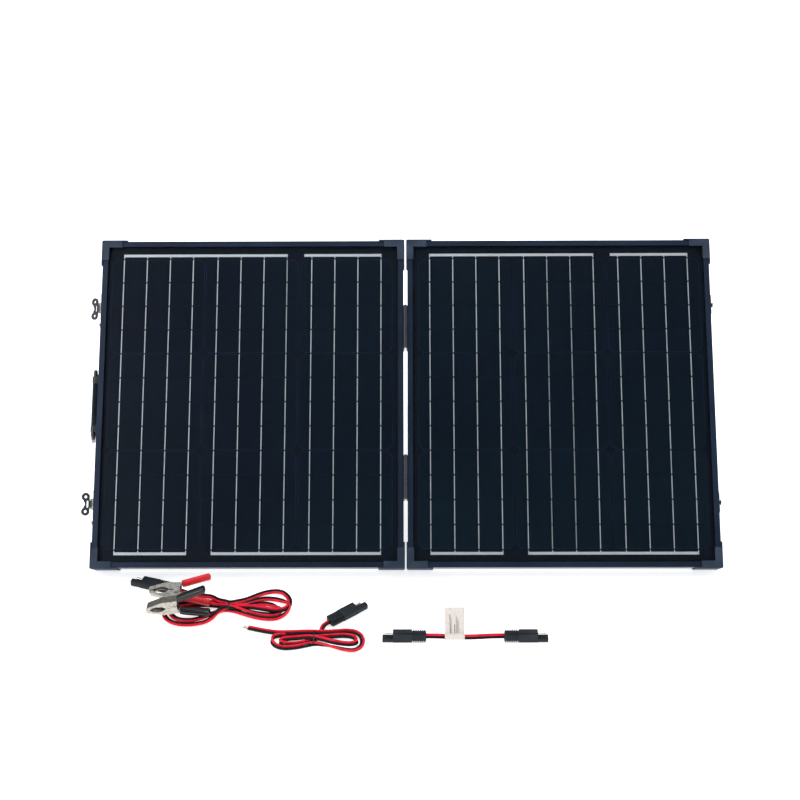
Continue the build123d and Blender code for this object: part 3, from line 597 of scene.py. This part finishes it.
wireRoute = [
    (-247, -138.5, 3, 15),
    (-226, -145, 3.2, 20),
    (-204, -150.3, 3.6, 25),
    (-184, -153, 6, 30),
    (-166, -155, 9, 30),
    (-150, -156, 10.4, 30),
    (-138, -156, 10, 30),
    (-124, -153, 6.6, 30),
    (-108.4, -148.5, 3.7, 30),
    (-92.5, -146.2, 3.5, 25),
    (-77.9, -148.6, 3.5, 20),
    (-68.4, -158.5, 3.5, 15),
    (-66, -171.2, 3.5, 15),
    (-69.5, -183, 3.5, 15),
    (-80.1, -190, 3.5, 15),
    (-94.4, -187.5, 3.5, 20),
    (-110.5, -182, 3.6, 40),
    (-126, -177, 3.8, 80),
    (-141, -174.5, 4.2, 110),
    (-156, -178.5, 3.9, 140),
    (-170.6, -182.5, 3.6, 155),
    (-187.9, -184.4, 3.5, 155),
    (-200.2, -180, 3.6, 150),
    (-207.5, -171.5, 4.2, 120),
    (-207.5, -162, 4.4, 80),
    (-200.5, -156.6, 4, 40),
    (-186, -156, 3.6, 30),
    (-170, -158.5, 3.6, 30),
    (-154, -161.5, 4.6, 40),
    (-141, -162, 5.2, 40),
    (-126, -160.8, 4.6, 35),
    (-110, -157.8, 3.7, 30),
    (-94, -156.5, 3.6, 30),
    (-81.5, -159.5, 3.8, 40),
    (-76, -167.3, 5.5, 80),
    (-75, -176, 8, 120),
    (-83, -181.2, 9, 135),
    (-98, -180, 9.2, 135),
    (-116.9, -175.4, 9.6, 135),
    (-129, -171.5, 10.4, 135),
    (-141, -168.3, 10.8, 140),
    (-154, -165, 9, 145),
    (-168, -163.8, 5.2, 150),
    (-182, -163.6, 4, 150),
    (-192.5, -166, 3.8, 130),
    (-195.5, -170.5, 4.2, 100),
    (-191, -174.5, 4.2, 60),
    (-181, -176, 3.7, 30),
    (-167, -175, 3.7, 30),
    (-154, -171.5, 3.8, 30),
    (-143, -167.5, 3.4, 20),
    (-134, -160, 3.2, 10),
    (-131, -151, 4.6, 5),
    (-131, -142.5, 6, 0),
    (-127.6, -134.66, 6, 0),
    (-120, -128.5, 6, 0),
]
makePair(
    "wire_pair",
    wireRoute,
    "wire_lead",
    ("wire_lead_cord", "wire_lead_hank"),
)
adapterRoute = [
    (32, -165, 10.25, 62),
    (51, -165, 10.25, 62),
    (72, -166.1, 9.5, 58),
    (94, -166.5, 9.1, 58),
    (115, -166, 9.5, 58),
    (135, -165, 10.25, 62),
    (153, -165, 10.25, 62),
]
makePair("adapter_pair", adapterRoute, "adapter_lead", ("adapter_cord",))

panelRun = {"middle": -258.3, "top": 463, "low": 276}  # from the junction box's glands to the controller's


def panelWire(name, side, replaced):
    middle, top, low = panelRun["middle"], panelRun["top"], panelRun["low"]
    route = [
        (middle + side * 12, top, 17),
        (middle + side * 12, top - 22, 17),
        (middle + side * 4, top - 48, 24),
        (middle + side * 4, low + 52, 24),
        (middle + side * 12, low + 24, 17),
        (middle + side * 12, low, 17),
    ]
    lifted = Matrix.Translation((0, 0, stance["lift"]))
    tilted = lifted @ Matrix.Rotation(math.radians(stance["tilt"]), 4, "X")
    placed = [tuple(tilted @ Vector(point)) for point in route]
    makeWire(name, placed, 0.002, "left_half", blackWire, replaced)


panelWire("left_panel_wire", -1, ("panel_wires",))
panelWire("right_panel_wire", 1, ("panel_wires",))
print("cords made")

# Ties
clampTie = {"middle": (-281.5, -94.8, 7.2), "width": 21, "height": 14, "band": 2.6, "thick": 1.1}
wireTie = {"middle": (-142, -164.8, 7), "width": 25, "height": 13.6, "band": 2.4, "thick": 1.0}


def makeTie(name, plan, body, replaced):
    shape = bmesh.new()
    ring = bmesh.ops.create_circle(shape, cap_ends=False, radius=1, segments=40)
    bmesh.ops.rotate(shape, verts=ring["verts"], cent=(0, 0, 0), matrix=Matrix.Rotation(math.pi / 2, 3, "Y"))
    bmesh.ops.scale(shape, vec=(1, plan["width"] / 2, plan["height"] / 2), verts=ring["verts"])
    bmesh.ops.translate(shape, vec=(-plan["band"] / 2, 0, 0), verts=ring["verts"])
    made = bmesh.ops.extrude_edge_only(shape, edges=shape.edges[:])
    moved = [part for part in made["geom"] if isinstance(part, bmesh.types.BMVert)]
    bmesh.ops.translate(shape, vec=(plan["band"], 0, 0), verts=moved)
    bmesh.ops.recalc_face_normals(shape, faces=shape.faces)
    bmesh.ops.solidify(shape, geom=shape.faces[:], thickness=plan["thick"])
    bmesh.ops.recalc_face_normals(shape, faces=shape.faces)
    place = toRow @ Matrix.Translation(plan["middle"])
    return keepPiece(name, shape, place, body, (gripBlack,), replaced)


makeTie("clamp_tie", clampTie, "clamp_lead", ("clamp_lead_tie",))
makeTie("wire_tie", wireTie, "wire_lead", ("wire_lead_tie",))


def makeTail():
    # The twisted end of the wire lead's tie
    shape = bmesh.new()
    start, end, turns = Vector((-146, -176, 5.5)), Vector((-156, -181.5, 6.5)), 2.5
    along = end - start
    for phase in (0, math.pi):
        line = []
        for step in range(25):
            part = step / 24
            angle = phase + part * turns * 2 * math.pi
            swing = Vector((0.3 * math.cos(angle), 0.8 * math.cos(angle), 0.9 * math.sin(angle)))
            line.append(toRow @ (start + along * part + swing))
        tubeAlong(shape, line, 0.0008, 0)
    return keepPiece("wire_tie_tail", shape, Matrix(), "wire_lead", (gripBlack,))


makeTail()
print("ties made")

# Cells
cellPlan = {
    "columns": 3,
    "rows": 12,  # strips up one half
    "middle": 259.3,
    "size": 156.75,
    "pitch": 159.35,
    "strip": 41.1,
    "gap": 2.0,
    "base": 30,
    "cut": 8,
    "rim": 0.9,
    "saw": 0.9,
    "level": 29.5,
    "thick": 0.4,
}


def makeCells(half, side):
    plan = cellPlan
    chance = random.Random(5 + side)
    shape = bmesh.new()
    tones = shape.faces.layers.float.new("tone")
    high = 4 * plan["strip"] - plan["gap"]
    for column in (-1, 0, 1):
        across = side * plan["middle"] + column * plan["pitch"]
        for cell in range(3):
            low = plan["base"] + cell * 4 * plan["strip"]
            middle = Vector((across, low + high / 2, plan["level"]))
            place = Matrix.Translation(middle) @ Matrix.Diagonal((plan["size"], high, 1, 1))
            made = bmesh.ops.create_grid(shape, x_segments=1, y_segments=1, size=0.5, matrix=place)
            bmesh.ops.bevel(
                shape,
                geom=made["verts"],
                offset=plan["cut"],
                offset_type="OFFSET",
                affect="VERTICES",
                segments=1,
                profile=0.5,
                material=-1,
            )
            faces = [face for face in shape.faces if (face.calc_center_median() - middle).length < 1]
            rim = bmesh.ops.inset_individual(shape, faces=faces, thickness=plan["rim"], depth=0)
            for face in rim["faces"]:
                face.material_index = 1
    for row in range(1, plan["rows"]):  # the saw cuts between strips
        cut = plan["base"] + row * plan["strip"] - plan["gap"] / 2
        for edge in (-plan["saw"] / 2, plan["saw"] / 2):
            whole = shape.verts[:] + shape.edges[:] + shape.faces[:]
            bmesh.ops.bisect_plane(shape, geom=whole, plane_co=(0, cut + edge, 0), plane_no=(0, 1, 0))
        sawn = [face for face in shape.faces if abs(face.calc_center_median().y - cut) < plan["saw"] / 2]
        bmesh.ops.delete(shape, geom=sawn, context="FACES")
    shades = [chance.uniform(0, 0.35) for _ in range(plan["columns"] * plan["rows"])]
    for face in shape.faces:
        spot = face.calc_center_median()
        column = int((spot.x - side * plan["middle"]) / plan["pitch"] + plan["columns"] / 2)
        row = int((spot.y - plan["base"]) / plan["strip"])
        face[tones] = shades[column * plan["rows"] + min(max(row, 0), plan["rows"] - 1)]
    bmesh.ops.remove_doubles(shape, verts=shape.verts, dist=0.001)
    raised = bmesh.ops.extrude_face_region(shape, geom=shape.faces[:], use_keep_orig=True)
    moved = [part for part in raised["geom"] if isinstance(part, bmesh.types.BMVert)]
    bmesh.ops.translate(shape, vec=(0, 0, plan["thick"]), verts=moved)
    bmesh.ops.recalc_face_normals(shape, faces=shape.faces)
    return keepPiece(
        half + "_cell_strips",
        shape,
        onPanel,
        half + "_half",
        (siliconFinish, rimFinish),
        (half + "_cells",),
        smooth=False,
    )


makeCells("left", -1)
makeCells("right", 1)
print("cells made")

# Clamp grips
clampPlan = {
    "red": {"tip": (-410, -78, 24), "end": (-313, -71, 21.5), "roll": 30},
    "black": {"tip": (-409, -113, 20), "end": (-313, -108, 31.5), "roll": 80},
    "start": 52,
    "rise": 10.9,
    "slope": 14.04,
    "length": 47.4,
    "wide": 16.4,
    "thick": 10.4,
}


def clampPlace(colour):
    plan = clampPlan[colour]
    tip, end = Vector(plan["tip"]), Vector(plan["end"])
    ahead = (end - tip).normalized()
    level = Vector((0, 0, 1)).cross(ahead).normalized()
    roll = math.radians(plan["roll"])
    opening = level * math.cos(roll) + ahead.cross(level) * math.sin(roll)
    pivotWay = ahead.cross(opening)
    basis = Matrix((ahead, opening, pivotWay)).transposed().to_4x4()
    return toRow @ Matrix.Translation(tip) @ basis


def makeGrip(colour, level, material, ribs):
    # A moulded sleeve drawn out along the handle, closed and rounded at its end
    plan = clampPlan
    shape = bmesh.new()
    made = bmesh.ops.create_circle(shape, cap_ends=True, radius=0.5, segments=32)
    bmesh.ops.rotate(shape, verts=made["verts"], cent=(0, 0, 0), matrix=Matrix.Rotation(math.pi / 2, 3, "Y"))
    for vertex in made["verts"]:
        y, z = vertex.co.y, vertex.co.z
        square = (abs(2 * y) ** 2.8 + abs(2 * z) ** 2.8) ** (-1 / 2.8)
        vertex.co.y, vertex.co.z = y * square, z * square
    bmesh.ops.scale(shape, vec=(1, plan["thick"] * 0.9, plan["wide"] * 0.9), verts=made["verts"])
    cap = shape.faces[:]
    steps = 44
    lastSize = 0.9
    for step in range(1, steps + 1):
        part = step / steps
        size = 0.9 + 0.1 * min(1, part * 6)
        if ribs and 0.12 < part < 0.88:
            size -= 0.045 * (1 + math.sin(part * steps * math.pi / 2)) / 2
        if part > 0.93:
            size *= math.sqrt(max(0.12, 1 - ((part - 0.93) / 0.075) ** 2))
        raised = bmesh.ops.extrude_face_region(shape, geom=cap)
        bmesh.ops.delete(shape, geom=cap, context="FACES_ONLY")
        cap = [item for item in raised["geom"] if isinstance(item, bmesh.types.BMFace)]
        verts = [item for item in raised["geom"] if isinstance(item, bmesh.types.BMVert)]
        bmesh.ops.translate(shape, vec=(plan["length"] / steps, 0, 0), verts=verts)
        bmesh.ops.scale(shape, vec=(1, size / lastSize, size / lastSize), verts=verts)
        lastSize = size
    bmesh.ops.holes_fill(shape, edges=[edge for edge in shape.edges if edge.is_boundary], sides=0)
    side = 1 if level == "upper" else -1
    lean = Matrix.Translation((plan["start"], side * plan["rise"], 0)) @ Matrix.Rotation(
        math.radians(side * plan["slope"]), 4, "Z"
    )
    bmesh.ops.recalc_face_normals(shape, faces=shape.faces)
    body = colour + "_clamp_jaw" if level == "upper" else "clamp_lead"
    return keepPiece(
        colour + "_" + level + "_grip",
        shape,
        clampPlace(colour) @ lean,
        body,
        (material,),
        (colour + "_clamp_" + level + "_grip",),
    )


for colour, material in (("red", gripRed), ("black", gripBlack)):
    for level in ("upper", "lower"):
        makeGrip(colour, level, material, colour == "red")
print("clamp grips made")

# Ribs on the plugs' strain reliefs
ribPlan = {
    "count": 6,
    "first": 2.2,
    "pitch": 3.4,
    "long": 1.9,
    "wide": 19.6,
    "thick": 11.9,
    "corner": 2.8,
    "edge": 0.5,
}
plugPlaces = {
    "clamp_lead": [((-380, -50, 6), 163, (0, 0, -1))],
    "wire_lead": [((-120, -128.5, 6), 38, (0, 0, 1))],
    "adapter_lead": [((32, -165, 10.25), 180, (0, 1, 0)), ((153, -165, 10.25), 0, (0, -1, 0))],
}


def plugPlace(point, heading, face):
    ahead = Vector((math.cos(math.radians(heading)), math.sin(math.radians(heading)), 0))
    out = Vector(face)
    across = out.cross(ahead)
    return Matrix.Translation(point) @ Matrix((ahead, across, out)).transposed().to_4x4()


def makeRibs(body, places):
    shape = bmesh.new()
    for point, heading, face in places:
        for number in range(ribPlan["count"]):
            along = ribPlan["first"] + number * ribPlan["pitch"]
            block = Matrix.Diagonal((ribPlan["long"], ribPlan["wide"], ribPlan["thick"], 1))
            local = Matrix.Translation((along, 0, 0)) @ block
            made = bmesh.ops.create_cube(shape, size=1, matrix=plugPlace(point, heading, face) @ local)
            edges = list({edge for vertex in made["verts"] for edge in vertex.link_edges})
            lengthwise = sorted(edges, key=lambda edge: edge.calc_length())[:4]
            bmesh.ops.bevel(
                shape,
                geom=lengthwise,
                offset=ribPlan["corner"],
                offset_type="OFFSET",
                affect="EDGES",
                segments=4,
                profile=0.5,
                material=-1,
            )
    sharp = [edge for edge in shape.edges if edge.calc_face_angle(0) > 1.2]
    bmesh.ops.bevel(
        shape,
        geom=sharp,
        offset=ribPlan["edge"],
        offset_type="OFFSET",
        affect="EDGES",
        segments=2,
        profile=0.5,
        material=-1,
    )
    return keepPiece(body + "_relief_ribs", shape, toRow, body, (plugFinish,))


for body, places in plugPlaces.items():
    makeRibs(body, places)
print("plug ribs made")

# Screws, screen marks and lids on the back
backPlan = {
    "controller": {"middle": (-258.3, 236), "size": (150, 84), "level": 4.5},
    "boxes": {"middle": 492, "across": 258.3, "size": (110, 58), "level": 11.5},
    "screw": 3.2,
    "dome": 0.38,  # the head's height as a share of its radius
    "slot": (3.2, 0.7, 0.8),
    "slotDown": 0.9,
}


def addScrew(shape, x, y, level):
    # A domed head with a cross recess, facing the back
    made = bmesh.ops.create_uvsphere(shape, u_segments=24, v_segments=12, radius=backPlan["screw"])
    edges = list({edge for vertex in made["verts"] for edge in vertex.link_edges})
    faces = list({face for vertex in made["verts"] for face in vertex.link_faces})
    bmesh.ops.bisect_plane(
        shape,
        geom=made["verts"] + edges + faces,
        plane_co=(0, 0, 0),
        plane_no=(0, 0, 1),
        clear_outer=True,
    )
    head = [v for v in shape.verts if v.co.length < backPlan["screw"] + 0.01]
    bmesh.ops.scale(shape, vec=(1, 1, backPlan["dome"]), verts=head)
    bmesh.ops.translate(shape, vec=(x, y, level + 0.02), verts=head)


def makeBackScrews(half, spots):
    whole = bmesh.new()
    for x, y, level in spots:
        single = bmesh.new()
        addScrew(single, x, y, level)
        for turn in (0.4, 0.4 + math.pi / 2):
            slot = Matrix.Translation((x, y, level - backPlan["slotDown"])) @ Matrix.Rotation(turn, 4, "Z")
            slot = slot @ Matrix.Diagonal((*backPlan["slot"], 1))
            bmesh.ops.create_cube(single, size=1, matrix=slot)
        bmesh.ops.holes_fill(single, edges=[edge for edge in single.edges if edge.is_boundary], sides=0)
        bmesh.ops.recalc_face_normals(single, faces=single.faces)
        mesh = bpy.data.meshes.new("screw")
        single.to_mesh(mesh)
        single.free()
        whole.from_mesh(mesh)
        bpy.data.meshes.remove(mesh)
    return keepPiece(half + "_case_screws", whole, onPanel, half + "_half", (zincSteel,))


def corners(middle, size, inset, level):
    halfWide, halfHigh = size[0] / 2 - inset, size[1] / 2 - inset
    return [(middle[0] + sx * halfWide, middle[1] + sy * halfHigh, level) for sx in (-1, 1) for sy in (-1, 1)]


controllerPlan, boxPlan = backPlan["controller"], backPlan["boxes"]
for half, side in (("left", -1), ("right", 1)):
    boxMiddle = (side * boxPlan["across"], boxPlan["middle"])
    spots = corners(boxMiddle, boxPlan["size"], 9, boxPlan["level"])
    if half == "left":
        spots += corners(controllerPlan["middle"], controllerPlan["size"], 8, controllerPlan["level"])
    makeBackScrews(half, spots)


framePlan = {
    "lid": {"wide": 84, "high": 36, "line": 1.6, "tall": 0.8, "corner": 4},
    "screen": {"across": -18, "up": 8, "wide": 72, "high": 42, "line": 3, "tall": 0.9, "corner": 4},
}


def addFrame(shape, x, y, level, plan):
    # A flat rounded frame standing proud of a case's back
    middle = Vector((x, y, level))
    place = Matrix.Translation(middle) @ Matrix.Diagonal((plan["wide"], plan["high"], 1, 1))
    made = bmesh.ops.create_grid(shape, x_segments=1, y_segments=1, size=0.5, matrix=place)
    bmesh.ops.bevel(
        shape,
        geom=made["verts"],
        offset=plan["corner"],
        offset_type="OFFSET",
        affect="VERTICES",
        segments=5,
        profile=0.5,
        material=-1,
    )
    faces = [face for face in shape.faces if (face.calc_center_median() - middle).length < 1]
    bmesh.ops.inset_individual(shape, faces=faces, thickness=plan["line"], depth=0)
    inner = [face for face in shape.faces if (face.calc_center_median() - middle).length < 1]
    bmesh.ops.delete(shape, geom=inner, context="FACES")
    raised = bmesh.ops.extrude_face_region(shape, geom=shape.faces[:], use_keep_orig=True)
    moved = [part for part in raised["geom"] if isinstance(part, bmesh.types.BMVert)]
    bmesh.ops.translate(shape, vec=(0, 0, -plan["tall"]), verts=moved)
    bmesh.ops.recalc_face_normals(shape, faces=shape.faces)


for half, side in (("left", -1), ("right", 1)):
    shape = bmesh.new()
    addFrame(shape, side * boxPlan["across"], boxPlan["middle"], boxPlan["level"], framePlan["lid"])
    keepPiece(
        half + "_box_lid_line", shape, onPanel, half + "_half", (caseFinish,), smooth=False
    )
shape = bmesh.new()
x = controllerPlan["middle"][0] + framePlan["screen"]["across"]
y = controllerPlan["middle"][1] + framePlan["screen"]["up"]
addFrame(shape, x, y, controllerPlan["level"], framePlan["screen"])
keepPiece("screen_surround", shape, onPanel, "left_half", (caseFinish,), smooth=False)

screenMarks = {
    "middle": (-276.3, 244),
    "level": 4.68,
    "thick": 0.12,
    "bars": (10, 16, 22, 28),
    "firstBar": 8,
    "barPitch": 6,
    "barWide": 3.6,
    "barScale": 0.7,
    "outline": ((-16, 6, 20, 1), (-16, -6, 20, 1), (-26, 0, 1, 13), (-6, 0, 1, 13), (-4.6, 0, 1.6, 5)),
}


def makeScreenMarks():
    # A plain battery outline and level bars behind the screen's window
    shape = bmesh.new()
    plan = screenMarks
    x, y = plan["middle"]
    for number, high in enumerate(plan["bars"]):
        place = Matrix.Translation((x + plan["firstBar"] + number * plan["barPitch"], y, plan["level"]))
        bar = Matrix.Diagonal((plan["barWide"], high * plan["barScale"], plan["thick"], 1))
        bmesh.ops.create_cube(shape, size=1, matrix=place @ bar)
    for dx, dy, wide, high in plan["outline"]:
        place = Matrix.Translation((x + dx, y + dy, plan["level"]))
        line = Matrix.Diagonal((wide, high, plan["thick"], 1))
        bmesh.ops.create_cube(shape, size=1, matrix=place @ line)
    return keepPiece("screen_marks", shape, onPanel, "left_half", (inkFinish,), smooth=False)


makeScreenMarks()

# Plain printed bars on the tag
tagPlan = {
    "place": (76, -166.2, 9.4),
    "lean": -34,
    "turn": 3,
    "face": -0.46,
    "bars": (  # across, middle, length and width of each
        (-6.4, 20, 30, 1.2),
        (-4.4, 18, 25, 0.5),
        (0.6, 12, 15, 1.1),
        (3.2, 19, 26, 0.6),
        (5.0, 17, 24, 0.6),
        (6.8, 15, 18, 0.5),
    ),
}


def makeTagPrint():
    plan = tagPlan
    shape = bmesh.new()
    for across, middle, tall, wide in plan["bars"]:
        place = Matrix.Translation((across, plan["face"], middle)) @ Matrix.Diagonal((wide, 0.06, tall, 1))
        bmesh.ops.create_cube(shape, size=1, matrix=place)
    leaning = Matrix.Rotation(math.radians(plan["lean"]), 4, "X")
    turned = Matrix.Rotation(math.radians(plan["turn"]), 4, "Z") @ leaning
    place = toRow @ Matrix.Translation(plan["place"]) @ turned
    return keepPiece("tag_print", shape, place, "adapter_lead", (inkFinish,), smooth=False)


makeTagPrint()
print("details made")

# Floor, light and surroundings
studio = {
    "floor": tint(250, 250, 250),
    "floorGlow": 0.6,
    "sky": (0.93, 0.96, 1.0),
    "skyStrength": 0.95,
    "dark": (0.02, 0.04, 0.07),
    "darkWay": (0.10, -0.52, 0.85),
    "darkInner": 0.945,
    "darkOuter": 0.86,
}


def addStudio():
    shape = bmesh.new()
    bmesh.ops.create_grid(shape, x_segments=1, y_segments=1, size=8)
    bmesh.ops.translate(shape, vec=(0, 0, -0.0002), verts=shape.verts)
    mesh = bpy.data.meshes.new("floor")
    shape.to_mesh(mesh)
    shape.free()
    floor = bpy.data.objects.new("floor", mesh)
    bpy.context.scene.collection.objects.link(floor)
    paint = finish("pale floor", studio["floor"], 0.9, specular=0.1)
    glow = paint.node_tree.nodes["Principled BSDF"]
    glow.inputs["Emission Color"].default_value = (1, 1, 1, 1)
    glow.inputs["Emission Strength"].default_value = studio["floorGlow"]
    mesh.materials.append(paint)
    world = bpy.data.worlds.new("studio")
    bpy.context.scene.world = world
    world.use_nodes = True
    tree = world.node_tree
    background = tree.nodes["Background"]
    background.inputs["Strength"].default_value = studio["skyStrength"]
    coordinates = tree.nodes.new("ShaderNodeTexCoord")
    dot = tree.nodes.new("ShaderNodeVectorMath")
    dot.operation = "DOT_PRODUCT"
    dot.inputs[1].default_value = Vector(studio["darkWay"]).normalized()
    spread = tree.nodes.new("ShaderNodeMapRange")
    spread.interpolation_type = "SMOOTHSTEP"
    spread.inputs["From Min"].default_value = studio["darkOuter"]
    spread.inputs["From Max"].default_value = studio["darkInner"]
    mix = tree.nodes.new("ShaderNodeMix")
    mix.data_type = "RGBA"
    mix.inputs[6].default_value = (*studio["sky"], 1)
    mix.inputs[7].default_value = (*studio["dark"], 1)
    addLink(tree, coordinates.outputs["Generated"], dot.inputs[0])
    addLink(tree, dot.outputs["Value"], spread.inputs["Value"])
    addLink(tree, spread.outputs["Result"], mix.inputs[0])
    addLink(tree, mix.outputs[2], background.inputs["Color"])


lamps = (
    {"name": "top", "place": (0.2, 0.5, 3.4), "aim": (0, -0.2, 0), "size": 2.2, "power": 42},
    {"name": "left", "place": (-2.6, -1.8, 1.6), "aim": (0, 0, 0.1), "size": 1.8, "power": 22},
    {"name": "right", "place": (2.8, -1.6, 1.5), "aim": (0, 0, 0.1), "size": 1.6, "power": 16},
    {"name": "back", "place": (0, 2.6, 1.6), "aim": (0, 0, 0.1), "size": 2.0, "power": 20},
    {"name": "lip", "place": (-1.62, -0.9, 1.9), "aim": (-0.51, -0.1, 0.25), "size": 0.5, "power": 6},
)


def addLamps():
    for plan in lamps:
        data = bpy.data.lights.new(plan["name"] + "_light", "AREA")
        data.shape = "SQUARE"
        data.size = plan["size"]
        data.energy = plan["power"]
        lamp = bpy.data.objects.new(plan["name"] + "_light", data)
        bpy.context.scene.collection.objects.link(lamp)
        way = Vector(plan["aim"]) - Vector(plan["place"])
        facing = way.to_track_quat("-Z", "Y").to_matrix().to_4x4()
        lamp.matrix_world = Matrix.Translation(plan["place"]) @ facing


addStudio()
addLamps()
bpy.context.scene.view_settings.view_transform = "Standard"
print("studio made")
